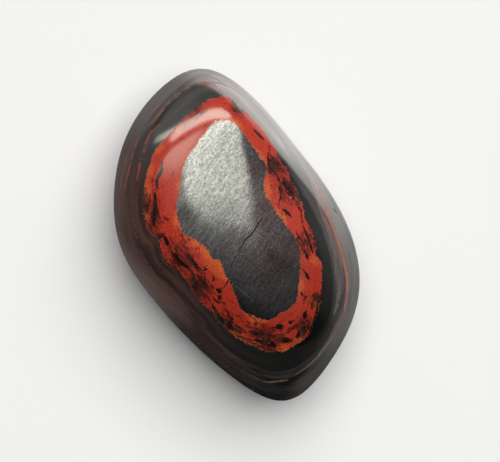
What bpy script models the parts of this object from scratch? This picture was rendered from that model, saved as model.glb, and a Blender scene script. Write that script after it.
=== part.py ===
"""Banded ironstone: one tumbled and polished pebble, lying on the small flat spot that it rests on.

The pebble is a lump, longer than wide and wider than thick, whose sides were worn nearly flat.
Each worn side is a plane at its own distance from the middle, and all of them are blended
into one rounded surface. Shallow hollows are left where the wear didn't reach.
The long axis lies along X, the crown with the eye of jasper faces up along Z, and the origin
is under the middle of the pebble, level with its flat spot.
"""

import math

import bmesh
import bpy
from mathutils import Vector

MM = 0.001

# The pebble's real size, over all
LENGTH = 32.0 * MM
WIDTH = 20.9 * MM
THICKNESS = 13.0 * MM

# How much of the rounded underside the flat spot takes away
FLAT_SPOT_DEPTH = 0.18 * MM

# The lump before it was worn: its half length, half width and half thickness
LUMP = Vector((23.0, 12.8, 7.3)) * MM

# Each worn side: the way it faces around the pebble from +X and up from level, in degrees,
# and how far its plane lies from the middle
WORN_SIDES = {
    "crown": (0, 90, 6.9 * MM),
    "broad end bevel": (-26, 52, 11.9 * MM),
    "broad end under": (-28, -46, 12.0 * MM),
    "broad corner": (39, 8, 13.9 * MM),
    "steep side by the broad end": (85, 14, 12.2 * MM),
    "steep side": (117, 16, 9.7 * MM),
    "steep side under": (98, -38, 9.8 * MM),
    "narrow end bevel": (186, 52, 11.6 * MM),
    "narrow end under": (176, -50, 12.2 * MM),
    "narrow corner": (-142, 12, 14.7 * MM),
    "flank by the narrow end": (-113, 22, 11.9 * MM),
    "flank": (-59, 16, 9.55 * MM),
    "flank under": (-82, -36, 9.8 * MM),
}

# A higher number leaves crisper edges between the worn sides
CRISPNESS = 7.0

# Each shallow hollow: the way it faces, how wide it is in degrees as seen from the middle, and its depth
HOLLOWS = {
    "hollow along the flank": (-64, 26, 17, 0.30 * MM),
    "hollow on the broad end": (-26, 34, 14, 0.22 * MM),
    "hollow under the steep side": (128, -20, 18, 0.22 * MM),
}

# Faces along one edge of the cube that the pebble's mesh is made from
FACES_PER_EDGE = 22

# A point this close to the flat spot's level counts as on it
LEVEL_WITHIN = 0.0001 * MM

POLISHED_IRON_ORE = {"base_color": (0.050, 0.046, 0.048, 1.0), "metallic": 0.55, "roughness": 0.24}


def facing(around, up):
    """The unit vector that points around degrees from +X and up degrees from level."""
    around = math.radians(around)
    up = math.radians(up)
    return Vector((math.cos(up) * math.cos(around), math.cos(up) * math.sin(around), math.sin(up)))


def distance_to_surface(direction):
    """How far the pebble reaches from its middle along a unit vector."""
    lump = math.sqrt(sum((part / half) ** 2 for part, half in zip(direction, LUMP)))
    blend = lump**CRISPNESS
    for around, up, distance in WORN_SIDES.values():
        toward = max(0.0, direction.dot(facing(around, up)))
        blend += (toward / distance) ** CRISPNESS
    reach = blend ** (-1.0 / CRISPNESS)
    for around, up, spread, depth in HOLLOWS.values():
        off = math.degrees(direction.angle(facing(around, up)))
        reach -= depth * math.exp(-((off / spread) ** 2))
    return reach


def swell_cube(bm):
    """Fills bm with a finely divided cube whose points are moved out to the pebble's surface."""
    bmesh.ops.create_cube(bm, size=2.0)
    bmesh.ops.subdivide_edges(bm, edges=bm.edges[:], cuts=FACES_PER_EDGE - 1, use_grid_fill=True)
    for vert in bm.verts:
        even = [math.tan(part * math.pi / 4) * half for part, half in zip(vert.co, LUMP)]
        direction = Vector(even).normalized()
        vert.co = direction * distance_to_surface(direction)


def size_of(bm):
    """The lowest and the highest corner of the box around bm."""
    low = Vector([min(vert.co[axis] for vert in bm.verts) for axis in range(3)])
    high = Vector([max(vert.co[axis] for vert in bm.verts) for axis in range(3)])
    return low, high


def fit_to_size(bm):
    """Brings the pebble to its real size, with the level of its flat spot at Z = 0."""
    low, high = size_of(bm)
    middle = (low + high) / 2
    full = Vector((LENGTH, WIDTH, THICKNESS + FLAT_SPOT_DEPTH))
    for vert in bm.verts:
        vert.co = Vector([(vert.co[i] - middle[i]) * full[i] / (high[i] - low[i]) for i in range(3)])
        vert.co.z += full.z / 2 - FLAT_SPOT_DEPTH


def cut_flat_spot(bm):
    """Takes off what lies below Z = 0 and closes the pebble there with one flat face, which it gives back."""
    cut = bmesh.ops.bisect_plane(
        bm,
        geom=bm.verts[:] + bm.edges[:] + bm.faces[:],
        dist=LEVEL_WITHIN,
        plane_co=(0, 0, 0),
        plane_no=(0, 0, -1),
        clear_outer=True,
    )["geom_cut"]
    rim = [item for item in cut if isinstance(item, bmesh.types.BMEdge)]
    for vert in {vert for edge in rim for vert in edge.verts}:
        vert.co.z = 0.0
    return bmesh.ops.contextual_create(bm, geom=rim)["faces"][0]


def make_material(name, base_color, metallic, roughness):
    """A Principled material with one colour and finish."""
    material = bpy.data.materials.new(name)
    material.use_nodes = True
    shader = material.node_tree.nodes["Principled BSDF"]
    shader.inputs["Base Color"].default_value = base_color
    shader.inputs["Metallic"].default_value = metallic
    shader.inputs["Roughness"].default_value = roughness
    material.diffuse_color = base_color
    return material


def make_pebble():
    """The whole stone, one closed body."""
    bm = bmesh.new()
    swell_cube(bm)
    fit_to_size(bm)
    flat_spot = cut_flat_spot(bm)
    bmesh.ops.recalc_face_normals(bm, faces=bm.faces[:])
    for face in bm.faces:
        face.smooth = face is not flat_spot
    mesh = bpy.data.meshes.new("banded_ironstone")
    bm.to_mesh(mesh)
    bm.free()
    mesh.materials.append(make_material("polished iron ore", **POLISHED_IRON_ORE))
    pebble = bpy.data.objects.new("banded_ironstone", mesh)
    bpy.context.scene.collection.objects.link(pebble)
    return pebble


def main():
    for old in list(bpy.data.objects):
        bpy.data.objects.remove(old, do_unlink=True)
    make_pebble()


main()
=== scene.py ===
"""Looks of the banded ironstone pebble, dressed over its solid.

The pebble's polished surface is one fine mesh of the same form as the solid. The outlines of the
jasper ring and of a band of painted dark reflection beside it, the thin beds and the dark flecks
are laid down where the photograph shows them, and each point of the mesh keeps its distance from
them. One material then paints iron ore, jasper and thin beds by those distances, with painted shade
and a painted glint in places. On the sides and the underside, which the photograph doesn't show,
the beds go on around the pebble below the ring.
"""

import math

import bmesh
import bpy
import numpy as np
from mathutils import Matrix, Vector, noise
from mathutils.bvhtree import BVHTree


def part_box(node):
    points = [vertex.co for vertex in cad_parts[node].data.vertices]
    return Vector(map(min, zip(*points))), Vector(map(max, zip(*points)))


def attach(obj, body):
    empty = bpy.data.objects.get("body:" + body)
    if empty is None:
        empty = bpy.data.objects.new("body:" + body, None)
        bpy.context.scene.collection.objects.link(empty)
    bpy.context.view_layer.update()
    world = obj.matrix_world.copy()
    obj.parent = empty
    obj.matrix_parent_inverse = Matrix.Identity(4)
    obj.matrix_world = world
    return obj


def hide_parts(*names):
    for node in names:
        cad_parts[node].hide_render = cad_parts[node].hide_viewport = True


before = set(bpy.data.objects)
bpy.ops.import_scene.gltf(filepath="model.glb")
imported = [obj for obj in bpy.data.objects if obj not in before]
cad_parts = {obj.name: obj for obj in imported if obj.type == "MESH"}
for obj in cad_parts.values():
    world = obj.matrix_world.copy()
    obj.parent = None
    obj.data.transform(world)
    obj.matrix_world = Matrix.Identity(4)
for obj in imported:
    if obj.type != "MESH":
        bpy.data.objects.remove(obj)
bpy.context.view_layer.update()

MM = 0.001

# The photograph's view, straight down on the crown with the broad end below
PHOTO_WIDTH = 500
PHOTO_HEIGHT = 462
PEBBLE_MIDDLE_PX = (234.8, 236.3)
PIXELS_PER_MM = 10.73
WIDEST_LEVEL = 6.2 * MM
CAMERA_TURN = math.radians(74)
LENS_MM = 120
SENSOR_MM = 36

# The form of the pebble, as in the solid: the half length, half width and half thickness of the lump
LUMP = np.array((23.0, 12.8, 7.3)) * MM

# Each worn side: the way it faces around the pebble from +X and up from level, in degrees,
# and how far its plane lies from the middle in mm
WORN_SIDES = {
    "crown": (0, 90, 6.9),
    "broad end bevel": (-26, 52, 11.9),
    "broad end under": (-28, -46, 12.0),
    "broad corner": (39, 8, 13.9),
    "steep side by the broad end": (85, 14, 12.2),
    "steep side": (117, 16, 9.7),
    "steep side under": (98, -38, 9.8),
    "narrow end bevel": (186, 52, 11.6),
    "narrow end under": (176, -50, 12.2),
    "narrow corner": (-142, 12, 14.7),
    "flank by the narrow end": (-113, 22, 11.9),
    "flank": (-59, 16, 9.55),
    "flank under": (-82, -36, 9.8),
}

# A higher number leaves crisper edges between the worn sides
CRISPNESS = 7.0

# Each shallow hollow: the way it faces, how wide it is in degrees from the middle, and its depth in mm
HOLLOWS = {
    "hollow along the flank": (-64, 26, 17, 0.30),
    "hollow on the broad end": (-26, 34, 14, 0.22),
    "hollow under the steep side": (128, -20, 18, 0.22),
}

# How much of the rounded underside the flat spot takes away
FLAT_SPOT_DEPTH = 0.18 * MM

# Faces of the mesh along the pebble's length, across it and through its thickness
FACES_ALONG = 190
FACES_ACROSS = 130
FACES_DOWN = 50

# Points of the divided cube this close together are one point
SAME_POINT_WITHIN = 1e-4

# The polish leaves the surface faintly wavy: how high the waves are and how far apart
WAVE_HEIGHT = 0.006 * MM
WAVE_LENGTH = 2.6 * MM

# Outline of the dark core, where the jasper begins, in pixels of the photograph, clockwise
CORE_EDGE_PX = [
    (216, 121), (231, 121), (241, 129), (251, 144), (263, 161), (267, 170), (263, 184), (268, 199),
    (277, 213), (286, 227), (296, 239), (300, 258), (298, 293), (291, 307), (279, 314), (269, 320),
    (256, 317), (242, 311), (237, 300), (232, 286), (225, 274), (220, 261), (211, 258), (207, 248),
    (194, 239), (183, 232), (179, 220), (176, 210), (179, 192), (183, 168), (192, 151), (204, 134),
]

# Outline of the jasper ring, where the dark ore begins again
RING_EDGE_PX = [
    (211, 98.5), (229, 98), (239, 107), (251, 117), (265, 133), (276, 151), (286, 168), (293, 182),
    (301, 201), (305, 217), (312, 234), (316, 253), (322, 265), (322, 278), (320, 295), (317, 314),
    (310, 331), (298, 343), (284, 351), (267, 351), (251, 345), (237, 338), (225, 328), (213, 314),
    (201, 301), (190, 286), (176, 269), (164, 258), (158, 239), (150, 232), (145, 215), (144, 196),
    (146, 177), (150, 163), (155.5, 149), (164, 139.5), (174, 129), (186, 116.5), (199, 106),
]

# Outline of the painted dark reflection beside the ring on its right: its outer edge, and back through the
# core
DARK_REFLECTION_EDGE_PX = [
    (280, 158), (291, 174), (301, 190), (310, 205), (317, 218), (323, 231), (327, 244), (331, 257),
    (333, 270), (334, 285), (333, 300), (330, 314), (324, 327), (314, 339), (301, 346), (288, 340),
    (275, 290), (262, 220), (262, 170),
]

# Dark flecks of ore in the jasper: half width in mm, how solid (0 to 1), and the pixels each runs through
FLECKS = {
    "left streak": (0.18, 1.0, [(162, 161), (161, 172), (157, 180), (157, 189)]),
    "left streak below": (0.18, 1.0, [(155, 193), (155, 206), (154, 222)]),
    "grey fleck by the shoulder": (0.17, 0.7, [(167, 149), (164, 159)]),
    "left patch": (0.24, 0.9, [(158, 238), (164, 236), (168, 246)]),
    "brown streak": (0.14, 0.6, [(177, 242), (182, 254)]),
    "lower left streak": (0.17, 1.0, [(173, 253), (181, 262), (190, 270)]),
    "bold fleck": (0.25, 1.0, [(188, 254), (192, 261), (198, 268)]),
    "small fleck pair": (0.13, 1.0, [(203, 270), (208, 269)]),
    "small fleck": (0.10, 1.0, [(207, 265), (207, 267)]),
    "long streak": (0.23, 1.0, [(191, 271), (195, 281), (202, 296)]),
    "upright fleck": (0.12, 0.9, [(214, 276), (213, 282)]),
    "fleck at the crack": (0.34, 1.0, [(217, 289), (221, 292)]),
    "fleck below it": (0.20, 1.0, [(220, 296), (219, 300)]),
    "streak at the bottom left": (0.23, 1.0, [(212, 304), (216, 312), (222, 321), (231, 327), (240, 333)]),
    "thin streak beside it": (0.10, 0.9, [(226, 320), (236, 325), (247, 333)]),
    "fleck in the clear red": (0.17, 1.0, [(254, 323), (257, 325)]),
    "mottled streak": (0.20, 0.9, [(253, 334), (262, 334), (272, 336)]),
    "mottled streak below": (0.20, 0.9, [(254, 340), (263, 341), (269, 339)]),
    "black patch at the bottom": (0.37, 1.0, [(272, 342), (274, 347)]),
    "brown patch at the bottom": (0.30, 0.85, [(277, 339), (285, 340), (292, 341)]),
    "wide fleck": (0.25, 1.0, [(276, 327), (283, 326)]),
    "round fleck": (0.24, 0.9, [(289, 323), (292, 321)]),
    "streak at the bottom right": (0.19, 1.0, [(296, 338), (301, 332), (306, 326)]),
    "upright black fleck": (0.21, 1.0, [(306, 311), (304, 319)]),
    "thin streak by the edge": (0.09, 1.0, [(311, 327), (316, 313), (318, 303), (319, 292)]),
    "spot": (0.13, 1.0, [(301, 292), (303, 296)]),
    "slanting fleck": (0.17, 1.0, [(306, 273), (309, 280)]),
    "hairline to it": (0.05, 1.0, [(301, 267), (306, 274)]),
    "fleck on the right": (0.18, 1.0, [(305, 250), (308, 259)]),
    "slanting streak": (0.13, 1.0, [(303, 226), (307, 236), (313, 253)]),
    "streak at the inner edge": (0.10, 0.9, [(296, 232), (303, 243)]),
    "black dash": (0.15, 1.0, [(282, 209), (287, 212), (291, 217)]),
    "curved line": (0.09, 0.9, [(278, 186), (281, 193), (279, 203)]),
    "brown patch on the right": (0.34, 0.8, [(283, 179), (287, 187), (292, 196)]),
    "streak down the outer edge": (0.16, 0.8, [(296, 200), (301, 212), (302, 224)]),
    "upright line": (0.09, 0.9, [(270, 145), (268, 160), (271, 174)]),
    "brown cloud": (0.36, 0.75, [(273, 161), (283, 172)]),
    "dash at the upper right": (0.17, 1.0, [(253, 129), (258, 134), (264, 140)]),
    "brown band at the top": (0.21, 0.7, [(229, 105), (238, 108), (247, 115)]),
    "dark speckle on the left": (0.16, 0.7, [(172, 232), (176, 241), (181, 249)]),
    "line along the shoulder": (0.05, 0.7, [(171, 147), (180, 140), (190, 133), (200, 126)]),
}

# A fleck is broken up by this much less how solid it is
FLECK_BREAKING = 1.22

# Places where the jasper is mottled with fine dark specks: how far each reaches in mm, and its pixel
MOTTLED = {
    "outer left edge": (1.5, (146, 202)),
    "outer left edge below": (1.2, (151, 226)),
    "lower left": (1.9, (178, 258)),
    "lower left by the long streak": (1.8, (199, 287)),
    "bottom left": (1.6, (226, 326)),
    "bottom": (2.0, (262, 340)),
    "bottom right": (1.4, (303, 328)),
    "outer right edge": (1.0, (319, 300)),
    "right": (1.3, (307, 243)),
    "right above": (1.6, (291, 190)),
    "upper right": (1.6, (278, 165)),
    "top": (1.2, (240, 108)),
    "shoulder": (1.1, (194, 108)),
}

# Places where the jasper turns orange, in the same way
ORANGE = {
    "inner edge at the notch": (1.25, (266, 187)),
    "inner edge above the notch": (0.9, (258, 156)),
    "inner edge below the notch": (0.9, (281, 218)),
    "outer left edge": (1.0, (147, 192)),
    "inner left edge": (0.8, (178, 222)),
    "lower left inner edge": (0.9, (207, 252)),
    "lower left inner edge below": (0.9, (224, 270)),
    "inner edge at the bottom": (1.0, (256, 319)),
    "outer edge at the bottom": (0.8, (282, 348)),
    "outer edge at the bottom left": (1.0, (236, 336)),
    "inner edge on the right": (0.7, (300, 285)),
    "top by the core": (0.8, (236, 124)),
    "outer left edge above": (0.7, (151, 170)),
    "outer left edge by the shoulder": (0.7, (160, 148)),
    "outer edge on the shoulder": (0.7, (178, 130)),
    "outer edge above the shoulder": (0.6, (191, 112)),
    "outer left edge below": (0.8, (148, 215)),
    "inner left edge above": (0.6, (181, 186)),
    "lower left": (1.5, (192, 250)),
    "lower left by the bold fleck": (1.1, (212, 272)),
    "right": (0.7, (313, 262)),
    "lower right": (0.8, (311, 300)),
    "bottom right": (0.7, (300, 338)),
    "bottom": (0.9, (258, 344)),
    "upper right outer edge": (0.8, (297, 196)),
}

# Places where the core is purplish, in the same way
PURPLE = {
    "right": (2.4, (283, 252)),
    "upper right": (1.5, (268, 212)),
    "top right": (1.0, (254, 170)),
}

# Colours that the thin beds and other marks have
RED_BED = (0.25, 0.045, 0.022)
BROWN_BED = (0.09, 0.028, 0.018)
ORANGE_BED = (0.36, 0.095, 0.040)
OLIVE_BED = (0.15, 0.090, 0.035)
CRACK_BLACK = (0.006, 0.004, 0.004)
PALE_SCRATCH = (0.055, 0.050, 0.040)
PIT_BROWN = (0.025, 0.016, 0.006)
PALE_BROWN = (0.24, 0.070, 0.025)
DARK_RED = (0.060, 0.014, 0.010)
GREY_BROWN = (0.095, 0.070, 0.055)
# Colour of a painted highlight, a small glint
PAINTED_GLINT = (0.9, 0.85, 0.8)

# Thin beds and other marks on the ore: half width in mm, colour, strength and how broken up (0 to 1),
# and the pixels each runs through
THIN_BEDS = {
    "upper left bed": (0.16, RED_BED, 0.95, 0.68, [
        (224, 94), (214, 85.5), (202, 83.5), (184, 90), (174, 98), (166, 107), (158, 116), (151, 124)]),
    "upper left bed outside it": (0.10, RED_BED, 0.85, 0.75, [
        (190, 80), (176, 88), (163, 101), (150, 116), (142, 129)]),
    "middle left bed": (0.16, RED_BED, 0.95, 0.70, [
        (160, 124), (150, 134), (145, 147), (141, 160), (137, 180)]),
    "left bed": (0.15, RED_BED, 0.95, 0.65, [(140, 134), (134, 149), (130, 165), (127, 178), (124, 192)]),
    "left bed outside it": (0.11, RED_BED, 0.85, 0.7, [
        (134, 139), (127, 155), (122, 175), (120, 196), (120, 215)]),
    "flank bed": (0.10, BROWN_BED, 0.5, 0.7, [(131, 200), (133, 222), (140, 247), (152, 270), (166, 290)]),
    "right orange bed": (0.16, ORANGE_BED, 0.75, 0.45, [
        (308, 168), (320, 190), (328, 213), (333, 228), (340, 248), (345, 268), (347, 288), (343, 315)]),
    "right red bed": (0.10, RED_BED, 0.6, 0.5, [(303, 172), (314, 193), (321, 212), (328, 232)]),
    "right brown bed": (0.22, BROWN_BED, 0.42, 0.5, [
        (334, 250), (337, 270), (339, 287), (338, 301), (334, 314)]),
    "right brown bed outside it": (0.16, BROWN_BED, 0.42, 0.5, [
        (343, 322), (347, 306), (349, 290), (348, 272)]),
    "lower right bed": (0.08, BROWN_BED, 0.6, 0.5, [(342, 316), (336, 331), (328, 342), (318, 354)]),
    "rim bed": (0.08, BROWN_BED, 0.7, 0.4, [(349, 252), (352, 268), (353, 285), (352, 301)]),
    "top bed": (0.09, BROWN_BED, 0.6, 0.4, [(192, 77), (204, 75), (216, 79), (228, 88)]),
    "red end of the crack": (0.07, DARK_RED, 0.8, 0.3, [(275, 210), (268, 214), (262, 218)]),
    "crack": (0.085, CRACK_BLACK, 1.0, 0.0, [
        (263, 217), (259, 222), (255, 229), (251, 235), (246, 239), (242, 246), (239, 251)]),
    "hairline end of the crack": (0.07, CRACK_BLACK, 0.95, 0.0, [
        (239, 251), (235, 258), (232, 265), (230, 273), (228, 281), (225, 286), (222, 289)]),
    "bottom left bed": (0.08, BROWN_BED, 0.8, 0.4, [(241, 370), (252, 376), (262, 381)]),
    "bottom bed": (0.11, OLIVE_BED, 0.85, 0.45, [(262, 381), (268, 382), (280, 381), (288, 380)]),
    "bottom right bed": (0.08, OLIVE_BED, 0.65, 0.55, [
        (295, 375), (302, 370), (308, 366), (319, 355), (330, 341), (337, 330)]),
    "brown jasper on the shoulder": (0.42, PALE_BROWN, 0.5, 0.6, [(198, 120), (212, 114), (227, 115)]),
    "grey jasper on the shoulder": (0.42, GREY_BROWN, 0.62, 0.70, [
        (174, 133), (184, 126), (193, 120), (203, 114)]),
    "scratch": (0.020, PALE_SCRATCH, 0.42, 0.35, [(234, 285), (243, 292), (253, 301)]),
    "short scratch": (0.020, PALE_SCRATCH, 0.7, 0.2, [(294, 265), (295, 270)]),
    "pit": (0.26, PIT_BROWN, 1.0, 0.0, [(333.5, 208.5), (336.5, 213)]),
    # A painted highlight: a small glint of light laid on as a pale mark
    "painted glint": (0.05, PAINTED_GLINT, 0.7, 0.0, [(289.5, 197), (291, 197.5)]),
}

# How far marks reach from their edges before they are cut off, and how much narrower their ends are
MARK_REACH = 1.2 * MM
MARK_TAPER = 0.65

# Steps of a smooth line from one pixel to the next
OUTLINE_STEPS = 6
MARK_STEPS = 5

# The jasper's colours and those of its flecks
JASPER_RED = (0.36, 0.030, 0.015)
JASPER_ORANGE = (0.44, 0.075, 0.020)
JASPER_DARK = (0.15, 0.015, 0.011)
FLECK_BLACK = (0.006, 0.004, 0.003)
FLECK_BROWN = (0.040, 0.014, 0.009)

# The ore's colours are those of its reflection
CORE_GREY = (0.242, 0.241, 0.240)
CORE_PURPLE = (0.235, 0.168, 0.160)
# A painted dark reflection: the ore is much darker in a band beside the ring on its right
PAINTED_DARK_REFLECTION = (0.078, 0.076, 0.073)
BED_BLACK = (0.185, 0.180, 0.172)
BED_GREY = (0.265, 0.256, 0.248)
# Brown beds are the ore's own colour; on the flank more of them is painted on as warm shade and reflection
BED_BROWN = (0.172, 0.080, 0.063)
# Painted shade on the flank: the ore there is darkened and warmed by this much
PAINTED_FLANK_SHADE = (0.94, 0.60, 0.56)

# The ore's crystals lie slanting across the pebble, this far around from its length
CRYSTAL_SLANT = math.radians(127)

# The length and breadth of the crystals in mm, and of the longer patches that they gather in
CRYSTAL = (0.26, 0.12)
LONG_GRAIN = (1.3, 0.32)

# How far bays, slanting teeth and grains move each edge in mm, and how soft it is
CORE_EDGE = {"Bays": 0.45, "Teeth": 0.5, "Grains": 0.4}
DARK_REFLECTION_EDGE = {"Bays": 0.3, "Teeth": 0.1, "Grains": 0.1, "Softness": 0.22}
LOWER_BED_EDGE = {"Bays": 2.4, "Teeth": 0.9}
RING_EDGE_BAYS = 0.5

# Noise drawn out along the beds: its length and thickness in mm, and how rough it is
FLECK_GRAIN = (0.5, 0.22, 0.7)
JASPER_STREAKS = (1.3, 0.36, 0.65)
JASPER_SPECKS = (0.42, 0.16, 0.7)
WIDE_BANDS = (9.0, 0.8, 0.5)
THIN_BANDS = (4.5, 0.30, 0.6)
SIDE_DASHES = (2.6, 0.45, 0.65)

# How far features of the other noise are across, in mm
BAY_SIZE = 1.1
TOOTH = (0.55, 0.24)
EDGE_GRAIN_SIZE = 0.15
FRAY_SIZE = 0.35
BREAK_SIZE = 0.8
ORANGE_PATCH_SIZE = 1.2
DARK_CLOUD_SIZE = 1.8
SAND_SIZE = 0.16
FLECK_CLOUD_SIZE = 0.8
PURPLE_CLOUD_SIZE = 1.6
SPARKLE_SIZE = 0.10
SWAY_SIZE = 4.5

# The jasper: how much its patches add to the orange, how much each mm from the ring's edges takes away,
# and how bright it is still on the broad end under painted shade, this many mm from the middle
ORANGE_PATCHES = 0.9
ORANGE_LOST_PER_MM = 0.75
BROAD_END_PAINTED_SHADE = 0.78
BROAD_END_FROM = 6.0

# How much more dark streaks and specks there are in the mottled places, and how dark they are
MOTTLING_ADDS = 0.17
SPECK_STRENGTH = 0.85

# Grey and brown beds begin between these distances from the ring, in mm
BEDS_BEGIN = (0.5, 1.6)

# The way that the flank faces, darker and browner there with painted warm shade, and where along that way it
# begins, in mm
FLANK_SIDE = (0.15, -0.99, 0.0)
FLANK_BEGINS = (3.0, 7.0)
# How much brown is painted on the flank as warm shade and reflection, and how much the beds have elsewhere
PAINTED_BROWN_ON_FLANK = 0.95
BROWN_ELSEWHERE = 0.35

# Thin red beds come out on the sides: the levels where they begin, how far apart they are and how far
# they sway in mm, and how strong they are
SIDE_BEDS_BEGIN = (6.2, 5.2)
SIDE_BED_SPACING = 1.0
SIDE_BED_SWAY = 2.4
SIDE_BED_STRENGTH = 0.8

# A broken bed of jasper comes out on the underside, this many mm from the ring, below these levels
LOWER_BED_DISTANCE = 12.3
LOWER_BED_HALF_WIDTH = 0.25
LOWER_BED_BEGINS = (3.2, 2.6)

# The polish: the ore is metallic, the brown beds less so, and the core's crystals stand out a little
GLASS_IOR = 1.54
ORE_METALLIC = 0.985
BROWN_BED_METALLIC = 0.65
ORE_ROUGHNESS = 0.12
BROWN_BED_ROUGHER = 0.10
JASPER_ROUGHNESS = 0.13
CRYSTAL_HEIGHT = 0.0018 * MM
CRYSTALS_OUTSIDE_CORE = 0.08

# The floor: how wide it is, and its colour
FLOOR_HALF_WIDTH = 0.8
FLOOR_COLOUR = (0.76, 0.76, 0.76, 1)
FLOOR_ROUGHNESS = 0.9

# How bright the pebble mirrors the floor, by the way around from the photograph's right in degrees
FLOOR_GLOW_COLOUR = (1.0, 0.985, 0.965)
FLOOR_GLOW = {
    -180: 0.22, -145: 0.3, -120: 0.07, -80: 0.03, -55: 0.14, -25: 0.36, 0: 0.55, 20: 0.9,
    38: 1.5, 55: 1.95, 75: 1.95, 95: 1.2, 120: 0.45, 150: 0.24, 180: 0.22,
}

# The glow is dimmer beside the pebble and far off, in half lengths and half widths of it from its middle
PEBBLE_HALF_LENGTH = 16.0 * MM
PEBBLE_HALF_WIDTH = 10.45 * MM
BESIDE_PEBBLE = (0.95, 1.9)
GLOW_BESIDE_PEBBLE = 0.5
FAR_OFF = (3.0, 14.0)
GLOW_FAR_OFF = 0.3

# How bright the pebble mirrors the room low down, by the same way around
ROOM_GLOW = {
    -180: 0.11, -150: 0.06, -120: 0.03, -80: 0.02, -50: 0.02, -30: 0.03, -14: 0.17, 2: 0.32,
    16: 0.46, 30: 0.4, 44: 0.25, 60: 0.22, 95: 0.24, 125: 0.32, 150: 0.22, 180: 0.11,
}

# The room's glow ends between these heights, from 0 for level to 1 for overhead, and this much is left
ROOM_GLOW_ENDS = (0.91, 0.63)
ROOM_DARKEST = 0.015

# How brightly the room lights what is matte, and how bright the camera sees it
ROOM_LIGHT = 0.03
ROOM_SEEN = 0.85

# Daylight: where it is, to the photograph's right, to its top and up, how wide it is and how bright
DAYLIGHT_PLACE = (0.25, 0.45, 1.1)
DAYLIGHT_WIDTH = 1.3
DAYLIGHT_RADIANCE = 3.75
DAYLIGHT_COLOUR = (1.0, 0.995, 0.985)

# The panes over the pebble that it mirrors: the corners of each, to the photograph's right and to its top
# for a pane one unit above the pebble, and how bright it is at each corner
PANE_HEIGHT = 0.6
WINDOW_COLOUR = (0.99, 1.0, 0.89)
WINDOW_PANES = {
    "window": [
        (0.11, 0.16, 1.95), (0.26, 0.6, 2.0), (0.56, 1.2, 2.0), (0.74, 1.7, 2.2), (0.62, 1.88, 2.4),
        (0.3, 1.42, 2.6), (0.05, 1.18, 3.2), (-0.15, 0.93, 3.6), (-0.26, 0.72, 3.7), (-0.32, 0.5, 3.5),
        (-0.34, 0.3, 3.1), (-0.31, 0.16, 2.3)],
    "lower window": [
        (0.07, 0.03, 1.6), (0.11, 0.16, 1.95), (-0.31, 0.16, 2.3), (-0.22, 0.06, 1.7), (-0.12, 0.025, 1.2)],
    "left window": [
        (-0.28, 0.83, 5.2), (-0.31, 0.62, 5.0), (-0.36, 0.44, 4.4), (-0.5, 0.4, 4.0), (-0.7, 0.5, 4.2),
        (-0.88, 0.6, 4.6), (-0.74, 0.68, 5.2), (-0.45, 0.73, 5.2)],
    "fading left window": [
        (-0.36, 0.44, 4.4), (-0.38, 0.2, 0.6), (-0.6, 0.1, 0.0), (-1.1, 0.4, 0.3), (-0.88, 0.6, 4.6),
        (-0.7, 0.5, 4.2), (-0.5, 0.4, 4.0)],
    "strip": [
        (-1.05, 1.03, 9), (-0.85, 0.88, 9), (-0.45, 0.95, 10), (0.0, 1.23, 11), (0.3, 1.45, 11),
        (0.62, 1.92, 9), (0.8, 2.3, 9), (0.88, 2.75, 8), (0.45, 2.5, 11), (-0.08, 1.86, 11),
        (-0.38, 1.5, 10), (-0.62, 1.35, 9), (-1.05, 1.36, 8)],
    "end of the strip": [
        (-1.05, 1.1, 3.0), (-1.05, 1.36, 3.0), (-2.1, 1.95, 2.0), (-4.8, 3.6, 0.6), (-4.8, 3.2, 0.6),
        (-2.4, 1.78, 1.8)],
}
WALL_COLOUR = (1.0, 0.95, 0.94)
WALL_PANES = {
    "wall by the window": [
        (0.09, 0.0, 0.36), (0.5, -0.04, 0.12), (1.2, 0.9, 0.16), (0.62, 1.22, 0.2), (0.15, 0.17, 0.36)],
    "sill": [(-0.36, 0.03, 0.42), (0.12, 0.02, 0.36), (0.12, -0.05, 0.24), (-0.32, -0.06, 0.3)],
    "wall below the sill": [
        (-0.45, -0.05, 0.18), (0.5, -0.03, 0.14), (0.45, -0.3, 0.02), (-0.45, -0.3, 0.02)],
    "wall left of the window": [
        (-0.36, 0.28, 0.9), (-0.26, 0.06, 0.6), (-0.6, 0.04, 0.3), (-0.75, 0.3, 0.3)],
}


def new_object(name, data):
    """A new object in the scene."""
    made = bpy.data.objects.new(name, data)
    bpy.context.scene.collection.objects.link(made)
    return made


def new_material(name):
    """A new material and its node tree."""
    material = bpy.data.materials.new(name)
    material.use_nodes = True
    return material, material.node_tree


def facing(around, up):
    """The unit vector that points around degrees from +X and up degrees from level."""
    around = math.radians(around)
    up = math.radians(up)
    return np.array((math.cos(up) * math.cos(around), math.cos(up) * math.sin(around), math.sin(up)))


def distance_to_surface(directions):
    """How far the pebble reaches from its middle along each of the unit vectors."""
    blend = np.linalg.norm(directions / LUMP, axis=1) ** CRISPNESS
    for around, up, distance in WORN_SIDES.values():
        toward = np.maximum(0.0, directions @ facing(around, up))
        blend += (toward / (distance * MM)) ** CRISPNESS
    reach = blend ** (-1.0 / CRISPNESS)
    for around, up, spread, depth in HOLLOWS.values():
        off = np.degrees(np.arccos(np.clip(directions @ facing(around, up), -1, 1)))
        reach -= depth * MM * np.exp(-((off / spread) ** 2))
    return reach


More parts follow.
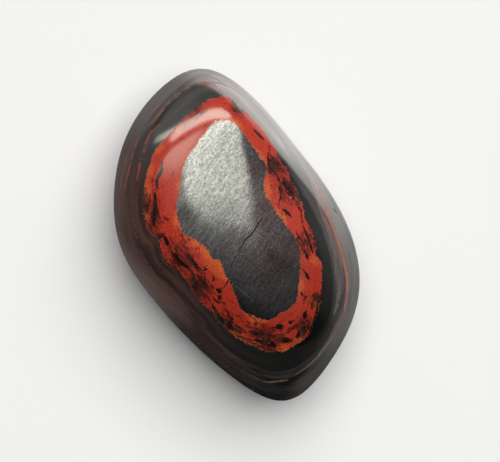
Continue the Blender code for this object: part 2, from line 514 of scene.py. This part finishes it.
def pebble_points(cube_points):
    """The points of a cube from -1 to 1, moved out to the pebble's surface and fitted to the solid's box."""
    directions = np.tan(cube_points * math.pi / 4) * LUMP
    directions /= np.linalg.norm(directions, axis=1, keepdims=True)
    points = directions * distance_to_surface(directions)[:, None]
    waves = np.array([noise.noise(Vector(point) / WAVE_LENGTH) for point in points])
    points -= directions * (WAVE_HEIGHT * waves)[:, None]
    low = points.min(axis=0)
    high = points.max(axis=0)
    solid_low, solid_high = (np.array(corner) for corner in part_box("banded_ironstone"))
    solid_low[2] -= FLAT_SPOT_DEPTH
    points = solid_low + (points - low) * (solid_high - solid_low) / (high - low)
    points[:, 2] = np.maximum(points[:, 2], 0.0)
    return points


def divided_cube(bm):
    """Fills bm with a cube from -1 to 1, each side divided as finely as the pebble needs there."""
    sides = {
        "top": (FACES_ALONG, FACES_ACROSS, 0, "X"),
        "bottom": (FACES_ALONG, FACES_ACROSS, 180, "X"),
        "steep side": (FACES_ALONG, FACES_DOWN, -90, "X"),
        "flank": (FACES_ALONG, FACES_DOWN, 90, "X"),
        "broad end": (FACES_DOWN, FACES_ACROSS, 90, "Y"),
        "narrow end": (FACES_DOWN, FACES_ACROSS, -90, "Y"),
    }
    for first, second, turn, axis in sides.values():
        place = Matrix.Rotation(math.radians(turn), 4, axis) @ Matrix.Translation((0, 0, 1))
        bmesh.ops.create_grid(bm, x_segments=first, y_segments=second, size=1.0, matrix=place)
    bmesh.ops.remove_doubles(bm, verts=bm.verts[:], dist=SAME_POINT_WITHIN)


def make_pebble():
    """The polished pebble as one fine mesh, and its points."""
    bm = bmesh.new()
    divided_cube(bm)
    mesh = bpy.data.meshes.new("polished_pebble")
    bm.to_mesh(mesh)
    bm.free()
    points = np.empty(len(mesh.vertices) * 3, np.float32)
    mesh.vertices.foreach_get("co", points)
    points = pebble_points(points.reshape(-1, 3).astype(float))
    mesh.vertices.foreach_set("co", points.astype(np.float32).ravel())
    mesh.update()
    mesh.shade_smooth()
    return new_object("polished_pebble", mesh), points


def image_axes():
    """The directions that point right and up in the photograph."""
    turn = Matrix.Rotation(CAMERA_TURN, 3, "Z")
    return turn.col[0], turn.col[1]


def in_image(to_right, to_top, height):
    """A place in the room, given as the photograph sees it."""
    right, up = image_axes()
    return right * to_right + up * to_top + Vector((0, 0, height))


def make_camera():
    """The camera over the crown, placed so that the pebble's middle falls on its pixel."""
    data = bpy.data.cameras.new("camera")
    data.lens = LENS_MM
    data.sensor_width = SENSOR_MM
    data.clip_start = 1 * MM
    camera = new_object("camera", data)
    bpy.context.scene.camera = camera
    to_right = (PHOTO_WIDTH / 2 - PEBBLE_MIDDLE_PX[0]) / PIXELS_PER_MM * MM
    to_top = (PEBBLE_MIDDLE_PX[1] - PHOTO_HEIGHT / 2) / PIXELS_PER_MM * MM
    away = LENS_MM / SENSOR_MM * PHOTO_WIDTH / PIXELS_PER_MM * MM
    place = in_image(to_right, to_top, WIDEST_LEVEL + away)
    camera.matrix_world = Matrix.Translation(place) @ Matrix.Rotation(CAMERA_TURN, 4, "Z")
    return camera


def seen_at(camera, surface, pixels):
    """The points of the surface that the camera sees at pixels of the photograph."""
    eye = camera.matrix_world.translation
    found = []
    for x, y in pixels:
        across = (x - PHOTO_WIDTH / 2) / PHOTO_WIDTH * SENSOR_MM
        down = (y - PHOTO_HEIGHT / 2) / PHOTO_WIDTH * SENSOR_MM
        ray = camera.matrix_world.to_3x3() @ Vector((across, -down, -LENS_MM))
        point = surface.ray_cast(eye, ray.normalized())[0]
        if point is None:
            raise ValueError(f"the camera doesn't see the pebble at pixel {x}, {y}")
        found.append(point)
    return np.array(found)


def smooth_line(points, steps, closed=False):
    """A curve that runs smoothly through the points, as a finer list of points."""
    points = np.array(points, float)
    if closed:
        points = np.concatenate((points[-1:], points, points[:2]))
    else:
        points = np.concatenate((2 * points[:1] - points[1:2], points, 2 * points[-1:] - points[-2:-1]))
    before, here, after, later = points[:-3], points[1:-2], points[2:-1], points[3:]
    curve = []
    for t in np.arange(steps) / steps:
        curve.append(0.5 * (2 * here + (after - before) * t
                            + (2 * before - 5 * here + 4 * after - later) * t**2
                            + (3 * here - before - 3 * after + later) * t**3))
    curve = np.stack(curve, axis=1).reshape(-1, points.shape[1])
    return np.concatenate((curve, points[-2:-1]))


def offset_from(points, line):
    """Each point's offset from the nearest place on the line, and how far along it that place is, 0 to 1."""
    runs = np.diff(line, axis=0)
    lengths = np.linalg.norm(runs, axis=1)
    travelled = np.concatenate(([0], np.cumsum(lengths)))
    nearest = np.full(len(points), np.inf)
    offset = np.zeros_like(points)
    along = np.zeros(len(points))
    for start, run, length, before in zip(line, runs, lengths, travelled):
        part = np.clip((points - start) @ run / length**2, 0, 1)
        gap = points - start - part[:, None] * run
        distance = np.linalg.norm(gap, axis=1)
        closer = distance < nearest
        nearest[closer] = distance[closer]
        offset[closer] = gap[closer]
        along[closer] = (before + part[closer] * length) / travelled[-1]
    return offset, along


def inside(points, outline):
    """True for each point that lies inside the outline, both seen from above."""
    x, y = points[:, 0], points[:, 1]
    found = np.zeros(len(points), bool)
    for (x1, y1), (x2, y2) in zip(outline[:-1, :2], outline[1:, :2]):
        if y1 != y2:
            found ^= ((y1 > y) != (y2 > y)) & (x < (x2 - x1) * (y - y1) / (y2 - y1) + x1)
    return found


def keep(mesh, name, values):
    """Keeps one value, or one vector, for each point of the mesh."""
    kind, field = ("FLOAT", "value") if values.ndim == 1 else ("FLOAT_VECTOR", "vector")
    mesh.attributes.new(name, kind, "POINT").data.foreach_set(field, values.astype(np.float32).ravel())


def lay_outlines(mesh, points, camera, surface):
    """Keeps how far each point lies outside each outline, in mm, negative inside."""
    upper = points[:, 2] > WIDEST_LEVEL
    outlines = {
        "core_distance": CORE_EDGE_PX,
        "ring_distance": RING_EDGE_PX,
        "dark_reflection_distance": DARK_REFLECTION_EDGE_PX,
    }
    for name, outline in outlines.items():
        edge = seen_at(camera, surface, smooth_line(outline, OUTLINE_STEPS, closed=True))
        distance = np.linalg.norm(offset_from(points, edge)[0], axis=1)
        distance[inside(points, edge) & upper] *= -1
        keep(mesh, name, distance / MM)


def lay_marks(mesh, points, camera, surface, name, marks):
    """Keeps each point's offset from the nearest mark in half widths, its gap from it, and its paint."""
    gap = np.full(len(points), MARK_REACH)
    offset = np.full((len(points), 3), MARK_REACH / MM)
    nearest = np.full(len(points), len(marks))
    for number, (half_width, paint, pixels) in enumerate(marks):
        line = smooth_line(seen_at(camera, surface, pixels), MARK_STEPS)
        near = (points > line.min(axis=0) - MARK_REACH) & (points < line.max(axis=0) + MARK_REACH)
        near = np.flatnonzero(near.all(axis=1))
        away, along = offset_from(points[near], line)
        half_widths = half_width * MM * (1 - MARK_TAPER * np.abs(2 * along - 1) ** 3)
        edge_gap = np.linalg.norm(away, axis=1) - half_widths
        closer = edge_gap < gap[near]
        chosen = near[closer]
        gap[chosen] = edge_gap[closer]
        offset[chosen] = away[closer] / half_widths[closer][:, None]
        nearest[chosen] = number
    keep(mesh, name + "_offset", offset)
    keep(mesh, name + "_gap", gap / MM)
    for part in marks[0][1]:
        values = np.array([paint[part] for half_width, paint, pixels in marks], float)
        no_mark = np.zeros_like(values[:1])
        keep(mesh, f"{name}_{part}", np.concatenate((values, no_mark))[nearest])


def fleck_marks():
    """The dark flecks as marks. The less solid one is, the more it is broken up."""
    return [
        (half_width, {"strength": solid, "broken": FLECK_BREAKING - solid}, pixels)
        for half_width, solid, pixels in FLECKS.values()
    ]


def bed_marks():
    """The thin beds as marks."""
    return [
        (half_width, {"colour": colour, "strength": strength, "broken": broken}, pixels)
        for half_width, colour, strength, broken, pixels in THIN_BEDS.values()
    ]


def lay_places(mesh, points, camera, surface, name, places):
    """Keeps how near each point is to the nearest of some places, from 0 to 1."""
    clear = np.ones(len(points))
    for reach, pixel in places.values():
        away = np.linalg.norm(points - seen_at(camera, surface, [pixel])[0], axis=1)
        clear *= 1 - np.exp(-((away / (reach * MM)) ** 2))
    keep(mesh, name, 1 - clear)


def add(kind, sockets, tree=None, **settings):
    """Adds a node to the tree, or to the tree of what it is linked to. Sockets go by name or number."""
    if tree is None:
        tree = next(value.id_data for value in sockets.values() if isinstance(value, bpy.types.NodeSocket))
    node = tree.nodes.new(kind)
    for name, value in settings.items():
        setattr(node, name, value)
    for name, value in sockets.items():
        if isinstance(value, bpy.types.NodeSocket):
            tree.links.new(value, node.inputs[name])
        elif isinstance(value, tuple) and len(value) == 3 and node.inputs[name].type == "RGBA":
            node.inputs[name].default_value = (*value, 1)
        else:
            node.inputs[name].default_value = value
    return node


def calculate(operation, first, second=0.0, clamp=False):
    return add("ShaderNodeMath", {0: first, 1: second}, operation=operation, use_clamp=clamp).outputs[0]


def plus(first, second):
    return calculate("ADD", first, second)


def minus(first, second):
    return calculate("SUBTRACT", first, second)


def times(first, second):
    return calculate("MULTIPLY", first, second)


def larger(first, second):
    return calculate("MAXIMUM", first, second)


def scaled(vector, factor):
    return add("ShaderNodeVectorMath", {0: vector, "Scale": factor}, operation="SCALE").outputs[0]


def each_times(vector, factors):
    """Multiplies a vector's parts one by one."""
    return add("ShaderNodeVectorMath", {0: vector, 1: factors}, operation="MULTIPLY").outputs[0]


def length_of(vector):
    return add("ShaderNodeVectorMath", {0: vector}, operation="LENGTH").outputs["Value"]


def along_way(vector, way):
    """How far a vector goes along the way that a unit vector points."""
    return add("ShaderNodeVectorMath", {0: vector, 1: way}, operation="DOT_PRODUCT").outputs["Value"]


def part_of(vector, axis):
    return add("ShaderNodeSeparateXYZ", {0: vector}).outputs[axis]


def between(value, low, high, to_low=0.0, to_high=1.0):
    """Goes smoothly from to_low to to_high while the value goes from low to high."""
    sockets = {"Value": value, "From Min": low, "From Max": high, "To Min": to_low, "To Max": to_high}
    return add("ShaderNodeMapRange", sockets, interpolation_type="SMOOTHSTEP").outputs["Result"]


def blend_colours(factor, first, second, blend_type="MIX"):
    sockets = {"Factor": factor, 6: first, 7: second}
    return add("ShaderNodeMix", sockets, data_type="RGBA", blend_type=blend_type).outputs[2]


def blend_values(factor, first, second):
    return add("ShaderNodeMix", {"Factor": factor, 2: first, 3: second}).outputs[0]


def kept(tree, name, output="Fac"):
    """What the mesh's points keep under a name."""
    return add("ShaderNodeAttribute", {}, tree, attribute_name=name).outputs[output]


def clouds(position, size, detail=3.0, roughness=0.55):
    """Soft noise from 0 to 1 whose features are about size mm across."""
    sockets = {"Vector": position, "Scale": 1 / size, "Detail": detail, "Roughness": roughness}
    return add("ShaderNodeTexNoise", sockets).outputs["Fac"]


def swing(noise_value, amount):
    """Noise from 0 to 1, turned into a swing around 0 that is amount wide in all."""
    return times(minus(noise_value, 0.5), amount)


def new_group(name, numbers, output, output_kind="Float", vectors=("Position",)):
    """An empty node group with one output. Its inputs are vectors, and numbers that start as given."""
    group = bpy.data.node_groups.new(name, "ShaderNodeTree")
    for socket in vectors:
        group.interface.new_socket(socket, in_out="INPUT", socket_type="NodeSocketVector")
    for socket, value in numbers.items():
        made = group.interface.new_socket(socket, in_out="INPUT", socket_type="NodeSocketFloat")
        made.default_value = value
    group.interface.new_socket(output, in_out="OUTPUT", socket_type="NodeSocket" + output_kind)
    return group, group.nodes.new("NodeGroupInput").outputs, group.nodes.new("NodeGroupOutput").inputs[output]


def use(group, sockets):
    """What a node group puts out for the given inputs."""
    return add("ShaderNodeGroup", sockets, node_tree=group).outputs[0]


def make_slant():
    """Turns a position into one whose features are drawn out along the slant of the ore's crystals."""
    numbers = {"Length": 0.3, "Breadth": 0.1}
    group, given, result = new_group("slant", numbers, "Place", "Vector")
    sockets = {"Vector": given["Position"], "Angle": -CRYSTAL_SLANT}
    turned = add("ShaderNodeVectorRotate", sockets).outputs[0]
    along = calculate("DIVIDE", 1.0, given["Length"])
    across = calculate("DIVIDE", 1.0, given["Breadth"])
    scale = add("ShaderNodeCombineXYZ", {"X": along, "Y": across, "Z": across}).outputs[0]
    group.links.new(each_times(turned, scale), result)
    return group


def drawn_out(slant, position, size):
    """A position drawn out along the slant, to a length and a breadth."""
    return use(slant, {"Position": position, "Length": size[0], "Breadth": size[1]})


def make_ragged_edge(slant):
    """Turns a distance from an outline into a mask with bays and slanting teeth, as where minerals meet."""
    numbers = {"Distance": 0.0, "Bays": 0.2, "Teeth": 0.2, "Grains": 0.25, "Softness": 0.035}
    group, given, result = new_group("ragged edge", numbers, "Inside")
    position = given["Position"]
    bays = swing(clouds(position, BAY_SIZE, roughness=0.6), given["Bays"])
    teeth = swing(clouds(drawn_out(slant, position, TOOTH), 1.0, roughness=0.65), given["Teeth"])
    grains = swing(clouds(position, EDGE_GRAIN_SIZE, detail=1.0), given["Grains"])
    moved = plus(given["Distance"], plus(bays, plus(teeth, grains)))
    softened = calculate("DIVIDE", moved, given["Softness"])
    group.links.new(between(softened, 1.0, -1.0), result)
    return group


def make_bed_streaks():
    """Noise that is drawn out along the beds: even along them, and changing quickly from bed to bed."""
    numbers = {"Distance": 0.0, "Length": 2.0, "Thickness": 0.3, "Roughness": 0.55}
    group, given, result = new_group("bed streaks", numbers, "Streaks")
    along = calculate("DIVIDE", 1.0, given["Length"])
    place = scaled(given["Position"], along)
    depth = calculate("DIVIDE", given["Distance"], given["Thickness"])
    sockets = {"Vector": place, "W": depth, "Scale": 1.0, "Detail": 3.0, "Roughness": given["Roughness"]}
    streaks = add("ShaderNodeTexNoise", sockets, noise_dimensions="4D").outputs["Fac"]
    group.links.new(streaks, result)
    return group


def make_mark():
    """A mask for the nearest mark, from the offset in half widths, with ragged sides and gaps."""
    numbers = {"Gap": 1.0, "Strength": 1.0, "Broken": 0.0}
    group, given, result = new_group("mark", numbers, "Mask", vectors=("Position", "Offset"))
    position = given["Position"]
    fraying = between(given["Broken"], 0.0, 0.3, 1.0, 2.8)
    frayed = swing(clouds(position, FRAY_SIZE, detail=4.0, roughness=0.7), fraying)
    away = plus(length_of(given["Offset"]), frayed)
    mask = times(between(away, 1.25, 0.75), between(given["Gap"], 0.24, 0.16))
    breaks = minus(clouds(position, BREAK_SIZE, detail=2.0), times(given["Broken"], 0.62))
    mask = times(mask, between(breaks, -0.02, 0.10))
    group.links.new(times(mask, given["Strength"]), result)
    return group


class Rock:
    """The ironstone's node tree, the groups that it uses, and where each point lies, in mm."""

    def __init__(self, tree):
        self.tree = tree
        self.slant = make_slant()
        self.ragged_edge = make_ragged_edge(self.slant)
        self.bed_streaks = make_bed_streaks()
        self.mark = make_mark()
        self.position = scaled(add("ShaderNodeTexCoord", {}, tree).outputs["Object"], 1 / MM)
        self.level = part_of(self.position, "Z")
        self.core_distance = kept(tree, "core_distance")
        self.ring_distance = kept(tree, "ring_distance")
        self.mottling = kept(tree, "mottling")

    def inside(self, distance, edge):
        """A mask of what lies inside an outline, by the distance from it and how ragged its edge is."""
        return use(self.ragged_edge, {"Position": self.position, "Distance": distance, **edge})

    def streaks(self, kind, distance=None):
        """Noise drawn out along the beds, which follow the ring unless another distance is given."""
        sockets = {"Position": self.position, "Distance": distance or self.ring_distance}
        sockets["Length"], sockets["Thickness"], sockets["Roughness"] = kind
        return use(self.bed_streaks, sockets)

    def nearest_mark(self, name):
        """A mask of the nearest mark of one kind."""
        sockets = {"Position": self.position, "Offset": kept(self.tree, name + "_offset", "Vector")}
        for part in ("Gap", "Strength", "Broken"):
            sockets[part] = kept(self.tree, f"{name}_{part.lower()}")
        return use(self.mark, sockets)


def core_and_ring(rock):
    """Masks of the core and of the jasper ring around it, which is more ragged where it is mottled."""
    in_core = rock.inside(rock.core_distance, CORE_EDGE)
    in_ring = rock.inside(rock.ring_distance, {
        "Bays": RING_EDGE_BAYS,
        "Teeth": between(rock.mottling, 0.2, 1.0, 0.3, 1.1),
        "Grains": between(rock.mottling, 0.0, 0.8, 0.25, 0.9),
    })
    return in_core, calculate("SUBTRACT", in_ring, in_core, clamp=True)


def lower_bed(rock):
    """A mask of the broken bed of jasper on the underside."""
    from_middle = calculate("ABSOLUTE", minus(rock.ring_distance, LOWER_BED_DISTANCE))
    in_bed = rock.inside(minus(from_middle, LOWER_BED_HALF_WIDTH), LOWER_BED_EDGE)
    return times(in_bed, between(rock.level, *LOWER_BED_BEGINS))


def clear_jasper(rock):
    """The jasper's colour: orange towards its edges, clouded with dark red, and darkened by painted shade on
    the broad end.
    """
    from_edge = calculate("MINIMUM", rock.core_distance, times(rock.ring_distance, -1.0))
    from_edge = larger(from_edge, 0.0)
    patches = times(clouds(rock.position, ORANGE_PATCH_SIZE, detail=4.0), ORANGE_PATCHES)
    orange = plus(kept(rock.tree, "orange"), patches)
    orange = minus(orange, times(from_edge, ORANGE_LOST_PER_MM))
    red = blend_colours(between(orange, 0.42, 1.15), JASPER_RED, JASPER_ORANGE)
    cloudier = between(rock.mottling, 0.0, 0.9, 0.55, 1.45)
    dark_clouds = times(clouds(rock.position, DARK_CLOUD_SIZE), cloudier)
    red = blend_colours(between(dark_clouds, 0.42, 0.95), red, JASPER_DARK)
    sand = between(clouds(rock.position, SAND_SIZE, detail=2.0), 0.3, 0.7, 0.80, 1.18)
    # Painted shade: the jasper darkens towards the broad end
    painted_shade = between(part_of(rock.position, "X"), 0.0, BROAD_END_FROM, 1.0, BROAD_END_PAINTED_SHADE)
    return scaled(red, times(sand, painted_shade))


def dark_in_jasper(rock):
    """A mask of the flecks, of streaks drawn out along the ring, and of fine specks where it is mottled."""
    grain = times(rock.streaks(FLECK_GRAIN), 0.9)
    flecks = between(plus(rock.nearest_mark("fleck"), grain), 1.13, 1.27)
    added = times(rock.mottling, MOTTLING_ADDS)
    long_streaks = between(plus(rock.streaks(JASPER_STREAKS), added), 0.63, 0.68)
    specks = between(plus(rock.streaks(JASPER_SPECKS), added), 0.64, 0.69)
    return larger(flecks, times(larger(long_streaks, specks), SPECK_STRENGTH))


def flecked_jasper(rock):
    """The colour of the jasper with all that is dark in it."""
    brown = between(clouds(rock.position, FLECK_CLOUD_SIZE), 0.45, 0.65)
    fleck_colour = blend_colours(brown, FLECK_BLACK, FLECK_BROWN)
    return blend_colours(dark_in_jasper(rock), clear_jasper(rock), fleck_colour)


def core_colour(rock):
    """The core's grey, purplish in places."""
    patches = between(clouds(rock.position, PURPLE_CLOUD_SIZE), 0.25, 0.6)
    return blend_colours(times(kept(rock.tree, "purple"), patches), CORE_GREY, CORE_PURPLE)


def beds_around(rock):
    """The colour of the black, grey and brown beds around the ring, with painted warm shade on the flank and
    a painted dark reflection beside the ring, and a mask of the brown beds and of the flank's painted shade.
    """
    bands = rock.streaks(WIDE_BANDS)
    outside = calculate("POWER", larger(rock.ring_distance, 0.0), 0.65)
    thin_bands = rock.streaks(THIN_BANDS, outside)
    begun = between(rock.ring_distance, *BEDS_BEGIN)
    painted_flank_shade = between(along_way(rock.position, FLANK_SIDE), *FLANK_BEGINS)

    # The brown beds are the ore's own; on the flank more brown is painted on as warm shade and reflection
    brown = calculate("ADD", between(bands, 0.44, 0.60), painted_flank_shade, clamp=True)
    brown = times(brown, between(thin_bands, 0.42, 0.60, 0.15, 1.0))
    brown = times(brown, blend_values(painted_flank_shade, begun, 1.0))
    brown = times(brown, blend_values(painted_flank_shade, BROWN_ELSEWHERE, PAINTED_BROWN_ON_FLANK))

    grey = times(begun, between(bands, 0.40, 0.52))
    colour = blend_colours(grey, BED_BLACK, BED_GREY)
    # Painted shade: the flank is darkened and warmed
    colour = blend_colours(painted_flank_shade, colour, PAINTED_FLANK_SHADE, "MULTIPLY")
    colour = blend_colours(brown, colour, BED_BROWN)
    # Painted dark reflection: the band beside the ring on its right is made much darker
    in_dark_reflection = rock.inside(kept(rock.tree, "dark_reflection_distance"), DARK_REFLECTION_EDGE)
    return blend_colours(in_dark_reflection, colour, PAINTED_DARK_REFLECTION), brown


def sparkle(rock, grain, in_core):
    """How much brighter or darker each of the core's crystals is. The ore around it is even."""
    long_grain = clouds(drawn_out(rock.slant, rock.position, LONG_GRAIN), 1.0)
    specks = clouds(rock.position, SPARKLE_SIZE, detail=1.0)
    bright = between(grain, 0.3, 0.68, 0.66, 1.34)
    bright = times(bright, between(long_grain, 0.3, 0.7, 0.82, 1.20))
    bright = times(bright, between(specks, 0.3, 0.7, 0.86, 1.14))
    return blend_values(in_core, 1.0, bright)


def side_beds(rock):
    """A mask of the thin red beds that come out on the sides, broken into dashes."""
    swaying = swing(clouds(rock.position, SWAY_SIZE, detail=4.0), SIDE_BED_SWAY)
    from_bed = calculate("PINGPONG", plus(rock.ring_distance, swaying), SIDE_BED_SPACING / 2)
    dashes = between(rock.streaks(SIDE_DASHES), 0.44, 0.70, -0.03, 0.06)
    in_bed = between(minus(from_bed, dashes), 0.02, 0.0)
    return times(in_bed, between(rock.level, *SIDE_BEDS_BEGIN))


def make_ironstone():
    """Polished ironstone: metallic iron ore, red jasper, dark flecks and thin beds."""
    material, tree = new_material("polished ironstone")
    shader = tree.nodes["Principled BSDF"].inputs
    shader["IOR"].default_value = GLASS_IOR

    rock = Rock(tree)
    in_core, jasper = core_and_ring(rock)
    jasper = larger(jasper, lower_bed(rock))
    thin_red = side_beds(rock)
    beds = rock.nearest_mark("bed")
    grain = clouds(drawn_out(rock.slant, rock.position, CRYSTAL), 1.0, detail=2.0, roughness=0.6)

    around, brown = beds_around(rock)
    ore = blend_colours(in_core, around, core_colour(rock))
    colour = scaled(ore, sparkle(rock, grain, in_core))
    colour = blend_colours(times(thin_red, SIDE_BED_STRENGTH), colour, RED_BED)
    colour = blend_colours(jasper, colour, flecked_jasper(rock))
    colour = blend_colours(beds, colour, kept(tree, "bed_colour", "Vector"))
    tree.links.new(colour, shader["Base Color"])

    stony = larger(larger(jasper, beds), thin_red)
    ore_metallic = blend_values(brown, ORE_METALLIC, BROWN_BED_METALLIC)
    tree.links.new(blend_values(stony, ore_metallic, 0.0), shader["Metallic"])
    ore_roughness = plus(ORE_ROUGHNESS, times(brown, BROWN_BED_ROUGHER))
    tree.links.new(blend_values(jasper, ore_roughness, JASPER_ROUGHNESS), shader["Roughness"])

    height = times(grain, blend_values(in_core, CRYSTALS_OUTSIDE_CORE, 1.0))
    bump = add("ShaderNodeBump", {"Height": height, "Strength": 1.0, "Distance": CRYSTAL_HEIGHT})
    tree.links.new(bump.outputs["Normal"], shader["Normal"])
    return material


def glow_around(direction, glows):
    """How bright it is in a direction, by the way around from the photograph's right."""
    right, up = image_axes()
    around = calculate("ARCTAN2", along_way(direction, up), along_way(direction, right))
    turns = plus(calculate("DIVIDE", around, math.tau), 0.5)
    ramp = add("ShaderNodeValToRGB", {"Fac": turns})
    ramp.color_ramp.interpolation = "EASE"
    stops = ramp.color_ramp.elements
    while len(stops) < len(glows):
        stops.new(0.5)
    brightest = max(glows.values())
    for stop, (degrees, glow) in zip(stops, glows.items()):
        stop.position = degrees / 360 + 0.5
        stop.color = (*[glow / brightest] * 3, 1)
    return times(ramp.outputs["Color"], brightest)


def make_floor_material():
    """Pale and matte. The pebble mirrors it brighter towards the window, and dark on the flank's side."""
    material, tree = new_material("pale floor")
    shader = tree.nodes["Principled BSDF"]
    shader.inputs["Base Color"].default_value = FLOOR_COLOUR
    shader.inputs["Roughness"].default_value = FLOOR_ROUGHNESS

    place = add("ShaderNodeTexCoord", {}, tree).outputs["Object"]
    away = length_of(each_times(place, (1 / PEBBLE_HALF_LENGTH, 1 / PEBBLE_HALF_WIDTH, 0)))
    glow = glow_around(place, FLOOR_GLOW)
    glow = times(glow, between(away, *BESIDE_PEBBLE, GLOW_BESIDE_PEBBLE, 1.0))
    glow = times(glow, between(away, *FAR_OFF, 1.0, GLOW_FAR_OFF))
    mirrored = add("ShaderNodeEmission", {"Color": FLOOR_GLOW_COLOUR, "Strength": glow}).outputs[0]
    seen_by_gloss = add("ShaderNodeLightPath", {}, tree).outputs["Is Glossy Ray"]
    both = add("ShaderNodeMixShader", {0: seen_by_gloss, 1: shader.outputs[0], 2: mirrored}).outputs[0]
    tree.links.new(both, tree.nodes["Material Output"].inputs["Surface"])
    return material


def make_floor():
    """A pale floor, wider than any view."""
    side = FLOOR_HALF_WIDTH
    corners = [(-side, -side, 0), (side, -side, 0), (side, side, 0), (-side, side, 0)]
    mesh = bpy.data.meshes.new("floor")
    mesh.from_pydata(corners, [], [(0, 1, 2, 3)])
    mesh.materials.append(make_floor_material())
    floor = new_object("floor", mesh)


def make_shine(name, colour):
    """The shine of panes, as bright at each corner as the pane keeps there."""
    material, tree = new_material(name)
    tree.nodes.remove(tree.nodes["Principled BSDF"])
    shine = add("ShaderNodeEmission", {"Color": colour, "Strength": kept(tree, "brightness")}).outputs[0]
    tree.links.new(shine, tree.nodes["Material Output"].inputs["Surface"])
    return material


def make_pane(name, corners, shine):
    """A level pane over the pebble, which only its mirror images show."""
    mesh = bpy.data.meshes.new(name)
    points = [
        in_image(to_right * PANE_HEIGHT, to_top * PANE_HEIGHT, PANE_HEIGHT)
        for to_right, to_top, _ in corners
    ]
    mesh.from_pydata(points, [], [range(len(points))])
    keep(mesh, "brightness", np.array(corners)[:, 2])
    mesh.materials.append(shine)
    pane = new_object(name, mesh)
    pane.visible_camera = False
    pane.visible_diffuse = False
    pane.visible_shadow = False


def make_panes():
    """The window and the walls that the pebble mirrors."""
    for kind, colour, panes in (("window", WINDOW_COLOUR, WINDOW_PANES), ("wall", WALL_COLOUR, WALL_PANES)):
        shine = make_shine(kind, colour)
        for name, corners in panes.items():
            make_pane(name, corners, shine)


def make_daylight():
    """Soft daylight from a wide square, which the pebble doesn't mirror."""
    data = bpy.data.lights.new("daylight", "AREA")
    data.size = DAYLIGHT_WIDTH
    data.energy = 4 * DAYLIGHT_RADIANCE * DAYLIGHT_WIDTH * DAYLIGHT_WIDTH
    data.color = DAYLIGHT_COLOUR
    light = new_object("daylight", data)
    light.location = in_image(*DAYLIGHT_PLACE)
    pebble_middle = Vector((0, 0, 6 * MM))
    light.rotation_euler = (pebble_middle - light.location).to_track_quat("-Z", "Y").to_euler()
    light.visible_glossy = False


def make_room():
    """A pale room, which the pebble mirrors as dim and darkest overhead."""
    world = bpy.data.worlds.new("room")
    bpy.context.scene.world = world
    world.use_nodes = True
    tree = world.node_tree
    direction = add("ShaderNodeTexCoord", {}, tree).outputs["Generated"]
    low_down = between(part_of(direction, "Z"), *ROOM_GLOW_ENDS)
    mirrored = plus(times(glow_around(direction, ROOM_GLOW), low_down), ROOM_DARKEST)
    ray = add("ShaderNodeLightPath", {}, tree).outputs
    strength = blend_values(ray["Is Glossy Ray"], ROOM_LIGHT, mirrored)
    strength = blend_values(ray["Is Camera Ray"], strength, ROOM_SEEN)
    background = tree.nodes["Background"].inputs
    background["Color"].default_value = (1, 1, 1, 1)
    tree.links.new(strength, background["Strength"])


def main():
    camera = make_camera()
    bpy.context.view_layer.update()
    pebble, points = make_pebble()
    surface = BVHTree.FromObject(pebble, bpy.context.evaluated_depsgraph_get())
    seen = (pebble.data, points, camera, surface)
    lay_outlines(*seen)
    lay_marks(*seen, "fleck", fleck_marks())
    lay_marks(*seen, "bed", bed_marks())
    lay_places(*seen, "mottling", MOTTLED)
    lay_places(*seen, "orange", ORANGE)
    lay_places(*seen, "purple", PURPLE)
    pebble.data.materials.append(make_ironstone())
    make_floor()
    make_daylight()
    make_panes()
    make_room()
    bpy.context.scene.view_settings.view_transform = "Standard"
    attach(pebble, "root")
    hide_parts("banded_ironstone")


main()
